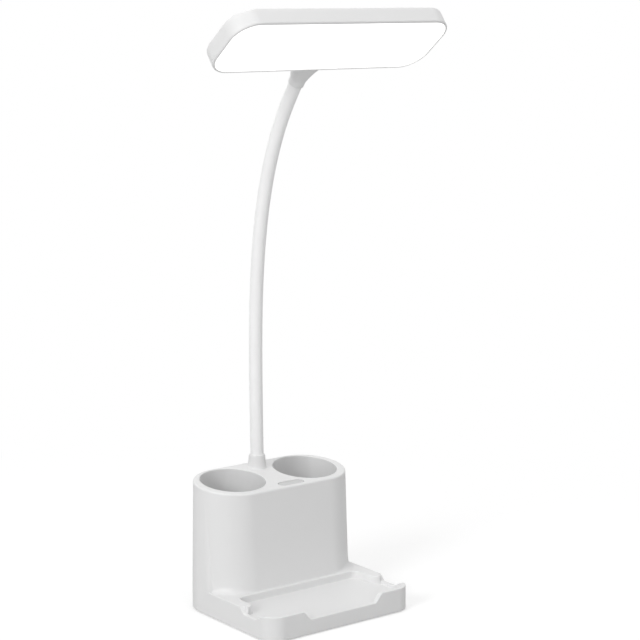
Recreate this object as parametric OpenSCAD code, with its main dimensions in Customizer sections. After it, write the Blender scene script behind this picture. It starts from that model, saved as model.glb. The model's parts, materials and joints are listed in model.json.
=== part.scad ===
// Desk lamp: a pen-holder column on a phone tray, a flexible neck and a flat light head.
// The column's middle stands over the origin, the table is z = 0 and the tray points to -Y.

/* [Base block] */
// Width of the base block
base_w = 138.6; // [130:0.2:156]
// From the column's middle forward to the front face
base_front = 94.9; // [88:0.1:110]
// From the column's middle back to the rear face, also the radius of the rear ends
base_back = 31.4; // [31.2:0.1:34]
// Radius of the two front corners seen from above
corner_r = 14; // [10:0.5:18]
// Height of the rim above the table
rim_top = 19.5; // [18.5:0.1:24]
// Wall thickness of the moulded shell
wall = 2.4; // [2:0.1:2.8]
// Height of the shell's lower edge above the table
shell_lift = 0.8; // [0.5:0.1:0.9]

/* [Tray] */
// Half of the tray's width behind the side gaps
tray_half_w = 58.5; // [54:0.1:60]
// From the column's middle forward to the tray's back wall
tray_back = 36.6; // [36:0.1:38]
// Thickness of the rim along the front and beside the side gaps
rim_t = 4; // [3:0.1:5]
// Height of the tray floor at its back wall
floor_back = 13.7; // [13:0.1:14.5]
// Height of the tray floor at the front rim
floor_front = 11.4; // [10.8:0.1:12]
// Thickness of the tray floor at the front rim
floor_t = 2.2; // [1.8:0.1:2.6]
// Radius of the tray's inner corners
tray_corner_r = 6; // [3:0.5:9]
// Height of the rim in the wide front gap
front_gap_z = 12.4; // [12.2:0.1:14]
// Half the length of the front gap along its low edge
front_gap_half = 30.5; // [24:0.5:34]
// Length of the rising curve at each end of the front gap
front_rise = 8.5; // [6:0.5:10]
// Height of the rim in the side gaps
side_gap_z = 14.6; // [14:0.1:16]
// From the column's middle forward to the low edge of a side gap
side_gap_from = 61; // [60:0.5:64]
// Length of a side gap along its low edge
side_gap_len = 12; // [8:0.5:14]
// Length of the curve at the rear end of a side gap
side_rise_rear = 7; // [4:0.5:8]
// Length of the curve at the front end of a side gap
side_rise_front = 13; // [8:0.5:16]
// From the column's middle forward to where the tray widens
tray_step = 60; // [57:0.5:64]

/* [Column] */
// Length of the column's oval at the deck
deck_len = 135.8; // [132:0.2:137]
// Radius of the column's round ends at the deck
deck_r = 30.6; // [30.2:0.1:31]
// Length of the column's oval where it stands on the base block
foot_len = 137.8; // [136.6:0.2:138.4]
// Radius of the column's round ends where it stands on the base block
foot_r = 32.75; // [32.4:0.05:33]
// Distance that the foot oval sits forward of the deck oval
foot_shift = 1.75; // [1.5:0.05:1.9]
// Height of the deck above the table, at the column's middle
deck_z = 101.3; // [96:0.1:115]
// Slope of the deck, lower at the front (degrees)
deck_slope = 6.5; // [4:0.1:7.5]
// Radius of the soft edge round the deck
deck_edge = 1.6; // [0.8:0.1:2]

/* [Pen cups] */
// Radius of each cup's bore
cup_r = 26; // [23:0.1:26.4]
// Sideways distance of each cup's centre from the middle
cup_x = 35.4; // [35:0.1:36.4]
// Distance of the cup centres behind the column's middle
cup_y = 1.7; // [0.6:0.1:2]
// Depth of the cups below the deck's middle
cup_depth = 75; // [60:0.5:76]
// Wall thickness of the cup tubes
cup_wall = 2; // [1.6:0.1:2.2]

/* [Dimmer key] */
// Length of the key's oval top
key_len = 23.4; // [20:0.1:25]
// Width of the key's oval top
key_w = 7.4; // [6.4:0.1:8]
// Sideways distance of the key's middle to the right of the column's middle
key_x = 3.5; // [0:0.5:4]
// Distance of the key's middle in front of the column's middle, along the deck
key_y = 23.2; // [22.6:0.1:23.4]
// Depth of the key's top below the deck at rest
key_sink = 0.5; // [0.2:0.1:0.8]
// Travel of the key when pressed
key_travel = 0.8; // [0.4:0.1:1.1]
// Gap round the key in its opening
key_gap = 0.25; // [0.15:0.05:0.4]
// Thickness of the key's top
key_t = 1.6; // [1.2:0.1:2]
// Width of the lip that keeps the key from falling out
key_lip = 0.9; // [0.6:0.1:1]
// Side of the square switch body under the key
switch_w = 6; // [4.5:0.1:6.4]
// Height of the switch body
switch_h = 3.4; // [3:0.1:4.5]
// Radius of the switch's plunger
plunger_r = 1.5; // [1:0.1:1.8]

/* [Neck] */
// Number of rigid links that stand for the flexible hose
link_count = 12; // [8:1:14]
// Distance between two bending points of the neck
link_pitch = 25; // [22:0.1:27]
// Radius of the neck's soft sleeve
neck_r = 5.3; // [5:0.05:6]
// Distance of the neck behind the column's middle
neck_y = 18.3; // [17.5:0.1:18.6]
// Height of the top of the neck's boss above the table
boss_top = 114; // [112:0.1:128]
// Height of the first bending point above the boss
first_bend = 3; // [2:0.1:6]
// Lean of the neck at its foot, forward is positive (degrees)
neck_lean = -1.1; // [-3:0.1:3]
// Bend of the neck from its foot to the head (degrees)
neck_bend = 38.2; // [20:0.1:50]
// How late the bend comes along the neck, 1 is an even curve
neck_late = 2.5; // [1:0.1:3]
// Radius of the steel hose inside the sleeve
hose_r = 3.5; // [3:0.05:3.7]
// Radius of the hose's bore
hose_bore_r = 1.7; // [1.5:0.05:2]
// Radius of the boss where it leaves the deck
boss_foot_r = 7.8; // [7.4:0.1:8.6]
// Radius of the boss at its top
boss_top_r = 6.5; // [6.4:0.1:7]
// Radius of the threaded fittings at the neck's two ends
fitting_r = 4.5; // [4.2:0.05:4.7]

/* [Light head] */
// Length of the light head
head_len = 198.4; // [180:0.2:220]
// Width of the light head
head_w = 59; // [54:0.2:66]
// Thickness of the light head
head_t = 14; // [13:0.1:18]
// Radius of the head's corners
head_corner_r = 19.2; // [12:0.1:22]
// Radius of the soft edge round the head's back
head_edge = 1.8; // [1:0.1:2.4]
// Tilt of the lit face above level (degrees)
head_tilt = 37.8; // [25:0.1:45]
// From the last bending point to the head's rear wall
neck_to_head = 30.3; // [27:0.1:36]
// Height of the last bending point above the lit face
neck_above_face = 4.8; // [4:0.1:6]
// Wall thickness of the head's housing
head_wall = 2; // [1.8:0.1:2.4]
// Width of the housing's visible rim round the lit face
head_rim = 1.3; // [1:0.1:1.5]
// Thickness of the light diffuser
diffuser_t = 1.6; // [1.2:0.1:2]
// Depth of the diffuser's face inside the rim
diffuser_sink = 0.3; // [0.1:0.1:0.6]
// Gap round the diffuser
diffuser_gap = 0.4; // [0.2:0.05:0.5]
// Length of the board that carries the lights
led_board_len = 172; // [150:0.5:178]
// Width of the board that carries the lights
led_board_w = 25; // [20:0.5:27]
// Lights in each of the two rows
led_count = 16; // [8:1:18]
// Width of the collar where it joins the head
collar_w = 21; // [18:0.5:26]
// Radius of the collar at the neck
collar_r = 6.2; // [6.2:0.05:7]

/* [Inside the base] */
// Thickness of the bottom cover
cover_t = 2.2; // [1.8:0.1:2.6]
// Height of the cover's underside above the table
cover_z = 1; // [0.9:0.1:1.2]
// Radius of a rubber foot
foot_pad_r = 7; // [5:0.1:8]
// Length of the steel weight
weight_len = 104; // [80:1:106]
// Width of the steel weight
weight_w = 42; // [30:1:43]
// Thickness of the steel weight
weight_t = 4.8; // [3:0.1:5]
// Radius of the battery cell
cell_r = 9.2; // [9.1:0.05:9.2]
// Length of the battery cell
cell_len = 65; // [65:0.5:66]
// Radius of the cover screws' shanks
screw_r = 1.25; // [1:0.05:1.5]
// Radius of the cover screws' heads
screw_head_r = 2.5; // [2.2:0.1:2.8]
// Radius of the small board screws' shanks
small_screw_r = 0.9; // [0.8:0.05:1]
// Thickness of the circuit boards
board_t = 1.2; // [1:0.1:1.6]

/* [Clearances] */
// Gap between two parts that are fitted together
fit_gap = 0.2; // [0.1:0.05:0.3]
// Radial gap of a screw or fitting in its hole
hole_gap = 0.05; // [0.03:0.01:0.1]
// Gap between the round end of one neck link and the next link
joint_gap = 0.3; // [0.25:0.01:0.4]

/* [Hidden] */
$fn = 72;
blend_fn = 32;
function numbered(prefix) = [for (i = [1:link_count]) str(prefix, i)];

// Colours as the photo shows them; the inner pieces have their usual ones.
shell_white = [0.93, 0.93, 0.93];
key_grey = [0.8, 0.8, 0.8];
sleeve_white = [0.95, 0.95, 0.95];
steel_grey = [0.66, 0.67, 0.69];
rubber_grey = [0.55, 0.55, 0.56];
board_green = [0.1, 0.36, 0.2];
lit_white = [1, 1, 0.98];

// Two sides, how far a cut runs past a face, how far a rib sinks into its wall, and the layers
// of a soft edge as shares of its radius: inwards and downwards.
sides = [-1, 1];
cut = 1;
root = 0.1;
edge_layers = [[0, 1], [0.3, 0.3], [1, 0]];

// Base block and tray.
half_w = base_w / 2;
tray_roof = floor_front - floor_t;
tray_front = base_front - rim_t;
tray_wide = half_w - rim_t;
tray_front_r = corner_r - rim_t;
step_r = tray_wide - tray_half_w;
tray_slope = atan((floor_back - floor_front) / (tray_front - tray_back));
rim_void_to = tray_step - side_rise_rear;
cover_top = cover_z + cover_t;
boss_r = 3.6;
front_boss = [60, 80];
rear_boss_in = 0.4;
rear_boss = [half_w - wall - boss_r + rear_boss_in, 4];
rear_boss_top = rim_top - wall;
screw_end_gap = 1;

// Cups.
cup_floor = deck_z - cup_depth;

// Key: heights along the deck's own upright, from the deck's face down.
key_bottom = key_sink + key_t;
key_skirt_t = 1.2;
lip_t = 1;
lip_top = wall + fit_gap;
lip_bottom = lip_top + lip_t;
plunger_in = 2.4;
switch_top = lip_bottom + key_travel + fit_gap;
key_board_top = switch_top + switch_h;
key_board_len = 18;
key_board_w = 14;
key_board_back = 3;
key_board_y = key_y - key_board_back;
key_post_x = 6;
key_post_back = 7.5;
key_post_y = key_y - key_post_back;
key_post_r = 1.8;
key_screw_in = 4;

// Neck: bending points and the lean of each link.
socket_r = neck_r + joint_gap;
socket_rim = sqrt(pow(socket_r, 2) - pow(neck_r, 2));
hose_seat_r = hose_r + hole_gap * 2;
wire_r = 1.4;
wire_hole_r = 1.6;
wire_end = 2;
hose_end_gap = 0.3;
hose_from = socket_r + fit_gap;
hose_short = 0.8;
hose_to = link_pitch - hose_short;
boss_seat = 5;
spigot_len = 4;
nut_t = 5;
nut_r = 7.5;
washer_t = 0.8;
washer_r = 8.5;
thread_below = 3;
boss_under = 6;
neck_foot = [0, neck_y, boss_top + first_bend];
boss_base = deck_z + neck_y * tan(deck_slope);
nut_face = boss_base - wall - boss_under;
function link_lean(i) = neck_lean + neck_bend * pow((i - 0.5) / link_count, neck_late);
function along(lean) = [0, -sin(lean), cos(lean)];
function bend_point(i) =
    i == 0 ? neck_foot : bend_point(i - 1) + link_pitch * along(link_lean(i));
neck_tip = bend_point(link_count);
tip_lean = neck_lean + neck_bend;

// Head: its own frame has the lit face at z = 0 and the rear wall at +Y.
head_up = [0, sin(head_tilt), cos(head_tilt)];
head_rearward = [0, cos(head_tilt), -sin(head_tilt)];
head_centre = neck_tip - (head_w / 2 + neck_to_head) * head_rearward - neck_above_face * head_up;
collar_start = 5.5;
collar_depth = 5;
collar_bend = 12.5;
collar_join = 1;
shoulder_len = 4;
tongue_len = 12;
tongue_w = 16;
tongue_t = 3;
tongue_z = head_t / 2 - tongue_t / 2;
tongue_screw_x = 5;
tongue_screw_in = 7;
tongue_screw_r = 1;
tongue_head_r = 1.9;
tongue_head_h = 1;
lead_way_z = tongue_z + tongue_t + wire_hole_r + hole_gap * 2;
ceiling = head_t - head_wall;
led_standoff = 2.4;
led_board_z = ceiling - led_standoff - board_t;
led_size = [3.5, 2.8, 0.8];
led_row = 6.5;
led_end = 8;
led_screw_step = (led_board_len - 2 * led_end) / 3;
led_step = (led_board_len - 2 * led_end) / (led_count - 1);
led_boss_r = 2.8;
diffuser_skirt_t = 1.2;
diffuser_skirt_h = 3;

// Screws, feet and weight.
screw_head_h = 1;
screw_seat = 1.1;
small_head_r = 1.7;
small_head_h = 0.8;
foot_front = [50, 84];
foot_rear = [44, 15];
foot_seat = 0.8;
weight_back = 4;
weight_y = -tray_back - weight_back - weight_w / 2;
weight_r = 3;
frame_t = 1.4;
frame_h = 2;
frame_gap = 12;

// Control board and what sits on it.
battery_y = -4;
cell_lift = 0.5;
battery_z = cover_top + cell_lift + cell_r;
cradle_x = 24;
cradle_t = 3;
cradle_h = cell_r * 0.8;
board_w = 38;
board_from = 9;
board_end_gap = 0.6;
board_to = base_back - wall - board_end_gap;
post_h = 2.4;
board_z = cover_top + post_h;
post_x = 15;
post_y = 12;
post_r = 2.4;
chip_at = [-12, 11, 0];
chip_size = [5, 4, 1.5];
coil_at = [6, 10, 0];
coil_size = [6, 6, 2.8];
plug_at = [-7, 2, 0];
plug_size = [4, 3, 1.2];
board_screw_len = 4;
board_corner_r = 2;
usb_w = 8.94;
usb_h = 3.26;
usb_len = 7.4;
usb_sink = 0.5;
usb_face = base_back - usb_sink;
usb_z = board_z + board_t + usb_h / 2;
usb_wall = 0.3;
usb_back = 1;
usb_tongue = [6.6, 0.7, 6];

// Leads inside the base: radius, pads on the boards, and how far each end runs straight.
cell_cap_h = 1;
cell_lead_r = 0.6;
cell_pad = [1, 6];
cell_lead_out = 8;
cell_lead_sweep = 14;
cell_lead_rise = 9;
key_lead_r = 0.8;
key_pad_x = 1;
key_pad_y = 6;
key_lead_drop = 30;
key_lead_rise = 50;

// ---- flat outlines ----

module oval(length, radius) {
    for (side = sides)
        translate([side * (length / 2 - radius), 0]) circle(radius);
    square([length - 2 * radius, 2 * radius], center = true);
}

module round_box(length, width, radius) {
    square([length - 2 * radius, width], center = true);
    square([length, width - 2 * radius], center = true);
    for (x = sides)
        for (y = sides)
            translate([x * (length / 2 - radius), y * (width / 2 - radius)]) circle(radius);
}

// The base block from above: two large round ends behind, two small corners in front.
module base_plan(inset = 0) {
    rear_r = base_back - inset;
    for (side = sides) {
        translate([side * (half_w - base_back), 0]) circle(rear_r);
        translate([side * (half_w - corner_r), corner_r - base_front]) circle(corner_r - inset);
    }
    translate([base_back - half_w, 0]) square([base_w - 2 * base_back, rear_r]);
    translate([inset - half_w, corner_r - base_front])
        square([base_w - 2 * inset, base_front - corner_r]);
    translate([corner_r - half_w, inset - base_front]) square([base_w - 2 * corner_r, base_front]);
}

// The tray from above: narrow behind, widening in a quarter round to the thin side rims.
module tray_plan() {
    translate([0, -tray_back - tray_step / 2]) difference() {
        round_box(2 * tray_half_w, tray_step, tray_corner_r);
        translate([-base_w, tray_back - 1.5 * tray_step]) square([2 * base_w, tray_step - cut]);
    }
    for (side = sides) {
        translate([side * (tray_wide - tray_front_r), tray_front_r - tray_front]) circle(tray_front_r);
        translate([side * tray_wide, step_r - tray_step]) difference() {
            translate([-step_r * (1 + side) / 2, -step_r]) square(step_r);
            circle(step_r);
        }
    }
    translate([-tray_wide, tray_front_r - tray_front])
        square([2 * tray_wide, tray_front - tray_front_r - tray_step]);
    translate([tray_front_r - tray_wide, -tray_front])
        square([2 * (tray_wide - tray_front_r), tray_front - tray_step]);
}

// A gap in a rim, seen from the side: flat below, with an S-shaped rise at each end.
module gap_profile(from, to, rise_from, rise_to, low) {
    steps = 10;
    height = rim_top - low;
    s = [for (i = [0:steps]) (1 - cos(180 * i / steps)) / 2];
    first = [for (i = [steps:-1:0]) [from - rise_from * i / steps, low + height * s[i]]];
    last = [for (i = [0:steps]) [to + rise_to * i / steps, low + height * s[i]]];
    top = rim_top + cut;
    polygon(concat(first, last, [[to + rise_to, top], [from - rise_from, top]]));
}

// ---- base ----

module on_deck() {
    translate([0, 0, deck_z]) rotate([deck_slope, 0, 0]) children();
}

// The column, or the space inside it: an upright oval that leans back to the sloping deck.
module column_body(inset, bottom, soft) {
    length = deck_len - 2 * inset;
    radius = deck_r - inset;
    thin = 0.01;
    hull($fn = 2 * blend_fn) {
        translate([0, -foot_shift, bottom])
            linear_extrude(thin) oval(foot_len - 2 * inset, foot_r - inset);
        on_deck() for (layer = edge_layers)
            translate([0, 0, -inset - thin - soft * layer[1]])
                linear_extrude(thin) oval(length - 2 * soft * layer[0], radius - soft * layer[0]);
    }
}

// The space inside the base block: under the tray, and up into the rims beside it.
module base_void() {
    translate([0, 0, -cut]) linear_extrude(tray_roof + cut) base_plan(wall);
    difference() {
        translate([0, 0, tray_roof - cut])
            linear_extrude(rim_top - wall - tray_roof + cut) base_plan(wall);
        translate([-tray_half_w - wall, -2 * base_front, 0])
            cube([2 * (tray_half_w + wall), 2 * base_front - tray_back + wall, rim_top]);
        translate([-base_w, -2 * base_front, 0])
            cube([2 * base_w, 2 * base_front - rim_void_to + wall, rim_top]);
    }
}

module column_void() {
    difference() {
        column_body(wall, tray_roof + wall, 0);
        cup_tubes(cup_r + cup_wall, cup_floor - cup_wall);
        translate([-base_w, -2 * base_front, 0])
            cube([2 * base_w, 2 * base_front - tray_back + wall, rim_top + wall]);
    }
}

module cup_tubes(radius, bottom) {
    for (side = sides)
        translate([side * cup_x, cup_y, bottom]) cylinder(r = radius, h = 2 * deck_z);
}

module tray_pocket() {
    intersection() {
        translate([0, 0, tray_roof]) linear_extrude(rim_top) tray_plan();
        translate([-base_w, -tray_front, floor_front])
            rotate([tray_slope, 0, 0]) cube([2 * base_w, 2 * base_front, base_front]);
    }
}

module rim_gaps() {
    translate([0, cut - tray_front, 0])
        rotate([90, 0, 0])
            linear_extrude(rim_t + 2 * cut)
                gap_profile(-front_gap_half, front_gap_half, front_rise, front_rise, front_gap_z);
    side_gap_to = side_gap_from + side_gap_len;
    for (side = sides)
        translate([side * (tray_wide + half_w) / 2, 0, 0])
            rotate([90, 0, 90])
                linear_extrude(rim_t, center = true)
                    gap_profile(-side_gap_to, -side_gap_from, side_rise_front, side_rise_rear, side_gap_z);
}

module boss_places() {
    for (side = sides) {
        translate([side * front_boss[0], -front_boss[1], 0]) children();
        translate([side * rear_boss[0], -rear_boss[1], 0]) children();
    }
}

module cover_bosses() {
    for (side = sides) {
        translate([side * front_boss[0], -front_boss[1], cover_top + fit_gap])
            cylinder(r = boss_r, h = tray_roof - cover_top);
        translate([side * rear_boss[0], -rear_boss[1], cover_top + fit_gap])
            cylinder(r = boss_r, h = rear_boss_top - cover_top);
    }
}

module neck_boss() {
    cone_h = boss_top - boss_base + wall;
    translate([0, neck_y, boss_base - wall]) cylinder(r1 = boss_foot_r, r2 = boss_top_r, h = cone_h);
    translate([0, neck_y, nut_face]) cylinder(r = washer_r, h = boss_under + wall);
}

module key_places() {
    for (side = sides)
        translate([side * key_post_x, -key_post_y, 0]) children();
}

module on_key() {
    on_deck() translate([key_x, -key_y, 0]) children();
}

module usb_slot() {
    translate([0, base_back + cut, usb_z]) rotate([90, 0, 0])
        linear_extrude(wall + 2 * cut) oval(usb_w + 2 * fit_gap, usb_h / 2 + fit_gap);
}

module base_shell() {
    post_h = key_board_top - wall / 2;
    color(shell_white) difference() {
        union() {
            difference() {
                union() {
                    translate([0, 0, shell_lift]) linear_extrude(rim_top - shell_lift) base_plan();
                    column_body(0, rim_top - wall, deck_edge);
                }
                base_void();
                column_void();
            }
            cover_bosses();
            neck_boss();
            on_deck() key_places()
                translate([0, 0, -key_board_top]) cylinder(r = key_post_r, h = post_h);
        }
        cup_tubes(cup_r, cup_floor);
        tray_pocket();
        rim_gaps();
        usb_slot();
        boss_places() translate([0, 0, cover_top - cut])
            cylinder(r = screw_r + hole_gap, h = tray_roof - cover_top - fit_gap + cut);
        translate([0, neck_y, 0]) {
            translate([0, 0, nut_face - cut]) cylinder(r = fitting_r + hole_gap, h = boss_top);
            translate([0, 0, boss_top - boss_seat]) cylinder(r = neck_r + hole_gap, h = boss_seat + cut);
        }
        on_key() translate([0, 0, -2 * wall])
            linear_extrude(2 * wall + cut) oval(key_len + 2 * key_gap, key_w / 2 + key_gap);
        on_deck() key_places() translate([0, 0, -key_board_top - cut])
            cylinder(r = small_screw_r + hole_gap, h = key_screw_in + fit_gap + cut);
    }
}

module foot_places() {
    for (side = sides) {
        translate([side * foot_front[0], -foot_front[1], 0]) children();
        translate([side * foot_rear[0], foot_rear[1], 0]) children();
    }
}

module post_places() {
    for (side = sides)
        translate([side * post_x, post_y, 0]) children();
}

// Two cradles hold the cell, a low frame holds the weight, two posts carry the control board.
module cover_ribs() {
    for (side = sides)
        translate([side * cradle_x - cradle_t / 2, battery_y - cell_r, cover_top - root])
            cube([cradle_t, 2 * cell_r, cradle_h]);
    post_places() translate([0, 0, cover_top - root]) cylinder(r = post_r, h = board_z - cover_top + root);
    translate([0, weight_y, cover_top - root]) linear_extrude(frame_h) difference() {
        round_box(weight_len + 2 * (frame_t + fit_gap), weight_w + 2 * (frame_t + fit_gap), weight_r);
        square([weight_len + 2 * fit_gap, weight_w + 2 * fit_gap], center = true);
        square([weight_len - 2 * frame_gap, 2 * weight_w], center = true);
    }
}

module bottom_cover() {
    color(shell_white) difference() {
        union() {
            translate([0, 0, cover_z]) linear_extrude(cover_t) base_plan(wall + fit_gap);
            cover_ribs();
        }
        translate([-cell_len, battery_y, battery_z]) rotate([0, 90, 0])
            cylinder(r = cell_r + hole_gap, h = 2 * cell_len);
        boss_places() {
            cylinder(r = screw_r + fit_gap, h = 2 * cover_top);
            translate([0, 0, cover_z - cut]) cylinder(r = screw_head_r + fit_gap, h = cut + screw_seat);
        }
        foot_places() translate([0, 0, cover_z - cut])
            cylinder(r = foot_pad_r + hole_gap, h = cut + foot_seat);
        post_places() translate([0, 0, cover_z + foot_seat])
            cylinder(r = small_screw_r + hole_gap, h = board_z);
    }
}

module rubber_feet() {
    color(rubber_grey) foot_places() cylinder(r = foot_pad_r, h = cover_z + foot_seat);
}

module screw(shank_r, length, head_r, head_h) {
    cylinder(r = shank_r, h = length);
    cylinder(r = head_r, h = head_h);
}

module small_screw(length) {
    screw(small_screw_r, length, small_head_r, small_head_h);
}

module cover_screws() {
    head_z = cover_z + screw_seat - screw_head_h;
    color(steel_grey) boss_places() translate([0, 0, head_z])
        screw(screw_r, tray_roof - head_z - screw_end_gap, screw_head_r, screw_head_h);
}

module steel_weight() {
    color(steel_grey) translate([0, weight_y, cover_top])
        linear_extrude(weight_t) round_box(weight_len, weight_w, weight_r);
}

module battery_cell() {
    color([0.2, 0.5, 0.7]) translate([-cell_len / 2, battery_y, battery_z]) rotate([0, 90, 0]) {
        cylinder(r = cell_r, h = cell_len - cell_cap_h);
        translate([0, 0, cell_len - cell_cap_h]) cylinder(r = cell_r / 3, h = cell_cap_h);
    }
}

// A thin lead swept along a cubic curve through four control points.
function bezier(p, t) =
    pow(1 - t, 3) * p[0] + 3 * t * pow(1 - t, 2) * p[1] + 3 * t * t * (1 - t) * p[2] + pow(t, 3) * p[3];
function unit(v) = v / norm(v);
module lead(p, radius, rings = 14, sides = 8) {
    path = [for (i = [0:rings]) bezier(p, i / rings)];
    points = [for (i = [0:rings])
        let (t = unit(path[min(i + 1, rings)] - path[max(i - 1, 0)]))
        let (a = unit(cross(t, [0.9, 0.1, 0.43])))
        let (b = cross(t, a))
        for (k = [0:sides - 1]) path[i] + radius * (cos(360 * k / sides) * a + sin(360 * k / sides) * b)];
    walls = [for (i = [0:rings - 1])
        for (k = [0:sides - 1])
            let (next = (k + 1) % sides)
            each [
                [i * sides + k, (i + 1) * sides + next, (i + 1) * sides + k],
                [i * sides + k, i * sides + next, (i + 1) * sides + next]
            ]];
    first = [[for (k = [sides - 1:-1:0]) k]];
    last = [[for (k = [0:sides - 1]) rings * sides + k]];
    polyhedron(points, concat(walls, first, last));
}

// From the cell's two ends round to the control board.
module battery_leads() {
    board_top = board_z + board_t;
    for (side = sides) {
        start = [side * (cell_len / 2 + cell_lead_r), battery_y, battery_z];
        stop = [side * (post_x + cell_pad[0]), post_y + cell_pad[1], board_top + cell_lead_r / 2];
        from_cell = [side * cell_lead_out, 0, 0];
        to_board = [side * cell_lead_sweep, 0, cell_lead_rise];
        color(side > 0 ? [0.75, 0.1, 0.1] : [0.15, 0.15, 0.15])
            lead([start, start + from_cell, stop + to_board, stop], cell_lead_r);
    }
}

module control_board() {
    color(board_green) difference() {
        translate([-board_w / 2, board_from, board_z]) cube([board_w, board_to - board_from, board_t]);
        post_places() translate([0, 0, board_z - cut])
            cylinder(r = small_screw_r + fit_gap, h = 2 * cut + board_t);
    }
}

// The charging chip, a coil and a connector.
module board_parts() {
    color([0.16, 0.16, 0.17]) translate([0, board_from, board_z + board_t])
        for (part = [[chip_at, chip_size], [coil_at, coil_size], [plug_at, plug_size]])
            translate(part[0]) cube(part[1]);
}

module board_screws() {
    color(steel_grey) post_places() translate([0, 0, board_z + board_t + small_head_h])
        mirror([0, 0, 1]) small_screw(board_screw_len);
}

module usb_socket() {
    color(steel_grey) translate([0, usb_face, usb_z]) rotate([90, 0, 0]) {
        difference() {
            linear_extrude(usb_len) oval(usb_w, usb_h / 2);
            translate([0, 0, -cut])
                linear_extrude(usb_len - usb_back + cut) oval(usb_w - 2 * usb_wall, usb_h / 2 - usb_wall);
        }
        translate([-usb_tongue[0] / 2, -usb_tongue[1] / 2, usb_len - usb_tongue[2] - usb_back / 2])
            cube(usb_tongue);
    }
}

module neck_lead() {
    color([0.85, 0.85, 0.85]) translate([0, neck_y, board_z + board_t])
        cylinder(r = wire_r, h = boss_top - board_z - board_t - wire_end);
}

// ---- dimmer key ----

module key_cap() {
    color(key_grey) on_key() translate([0, 0, -lip_bottom]) difference() {
        union() {
            linear_extrude(lip_bottom - key_sink) oval(key_len, key_w / 2);
            linear_extrude(lip_t) oval(key_len + 2 * key_lip, key_w / 2 + key_lip);
        }
        translate([0, 0, -cut]) linear_extrude(lip_bottom - key_bottom + cut)
            oval(key_len - 2 * key_skirt_t, key_w / 2 - key_skirt_t);
    }
}

module switch_plunger() {
    color([0.12, 0.12, 0.13]) on_key() translate([0, 0, -switch_top - plunger_in])
        cylinder(r = plunger_r, h = switch_top + plunger_in - key_bottom);
}

module key_switch() {
    color([0.12, 0.12, 0.13]) on_key() translate([0, 0, -key_board_top]) difference() {
        translate([-switch_w / 2, -switch_w / 2, 0]) cube([switch_w, switch_w, switch_h]);
        translate([0, 0, -cut]) cylinder(r = plunger_r + hole_gap, h = switch_h + 2 * cut);
    }
}

module key_board() {
    color(board_green) on_deck() translate([0, 0, -key_board_top - board_t]) difference() {
        translate([0, -key_board_y, 0]) linear_extrude(board_t)
            round_box(key_board_len, key_board_w, board_corner_r);
        key_places() translate([0, 0, -cut]) cylinder(r = small_screw_r + fit_gap, h = board_t + 2 * cut);
    }
}

module key_screws() {
    color(steel_grey) on_deck() key_places()
        translate([0, 0, -key_board_top - board_t - small_head_h])
            small_screw(small_head_h + board_t + key_screw_in);
}

// From the key's board down inside the column to the control board.
module key_lead() {
    board_under = deck_z - key_board_y * tan(deck_slope) - key_board_top - board_t;
    start = [key_pad_x, -key_board_y, board_under - key_lead_r];
    stop = [2 * key_pad_x, board_from + key_pad_y, board_z + board_t + key_lead_r / 2];
    color([0.85, 0.85, 0.85])
        lead([start, start - [0, 0, key_lead_drop], stop + [0, 0, key_lead_rise], stop], key_lead_r);
}

// ---- neck ----

module neck_fitting() {
    foot = nut_face - washer_t - nut_t - thread_below;
    color(steel_grey) translate([0, neck_y, 0]) difference() {
        union() {
            translate([0, 0, foot]) cylinder(r = fitting_r, h = boss_top - boss_seat - foot);
            translate([0, 0, boss_top - boss_seat]) cylinder(r = hose_r, h = spigot_len);
        }
        translate([0, 0, foot - cut]) cylinder(r = wire_r + fit_gap, h = boss_top);
    }
}

module neck_washer() {
    color(steel_grey) translate([0, neck_y, nut_face - washer_t]) difference() {
        cylinder(r = washer_r, h = washer_t);
        translate([0, 0, -cut]) cylinder(r = fitting_r + fit_gap, h = washer_t + 2 * cut);
    }
}

module neck_nut() {
    color(steel_grey) translate([0, neck_y, nut_face - washer_t - nut_t]) difference() {
        cylinder(r = nut_r, h = nut_t, $fn = 6);
        translate([0, 0, -cut]) cylinder(r = fitting_r + hole_gap, h = nut_t + 2 * cut);
    }
}

// Half of a sleeve's cross-section, from the socket that holds one ball to its own ball.
module sleeve_half(length, socket) {
    difference() {
        union() {
            translate([0, socket ? socket_rim : 0]) square([neck_r, length - (socket ? socket_rim : 0)]);
            intersection() {
                translate([0, length]) circle(neck_r);
                translate([0, length - cut]) square([neck_r, neck_r + cut]);
            }
        }
        if (socket) circle(socket_r);
        translate([-cut, -cut]) square([wire_hole_r + cut, length + neck_r + 2 * cut]);
    }
}

module neck_sleeve_root() {
    length = boss_seat + first_bend;
    color(sleeve_white) translate([0, neck_y, boss_top - boss_seat]) rotate_extrude() difference() {
        sleeve_half(length, false);
        translate([-cut, -cut]) square([hose_seat_r + cut, spigot_len + hose_end_gap + cut]);
    }
}

module on_link(i) {
    translate(bend_point(i - 1)) rotate([link_lean(i), 0, 0]) children();
}

module neck_sleeve(i) {
    color(sleeve_white) on_link(i) rotate_extrude() difference() {
        sleeve_half(link_pitch, true);
        translate([-cut, 0]) square([hose_seat_r + cut, hose_to + hose_end_gap]);
    }
}

module neck_hose(i) {
    color(steel_grey) on_link(i) translate([0, 0, hose_from]) rotate_extrude()
        translate([hose_bore_r, 0]) square([hose_r - hose_bore_r, hose_to - hose_from]);
}

module on_tip() {
    translate(neck_tip) rotate([tip_lean, 0, 0]) children();
}

module neck_sleeve_tip() {
    length = collar_start + collar_depth;
    color(sleeve_white) on_tip() rotate_extrude() difference() {
        translate([0, socket_rim]) square([neck_r, length - socket_rim]);
        circle(socket_r);
        translate([-cut, -cut]) square([hose_seat_r + cut, length + 2 * cut]);
    }
}

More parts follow.
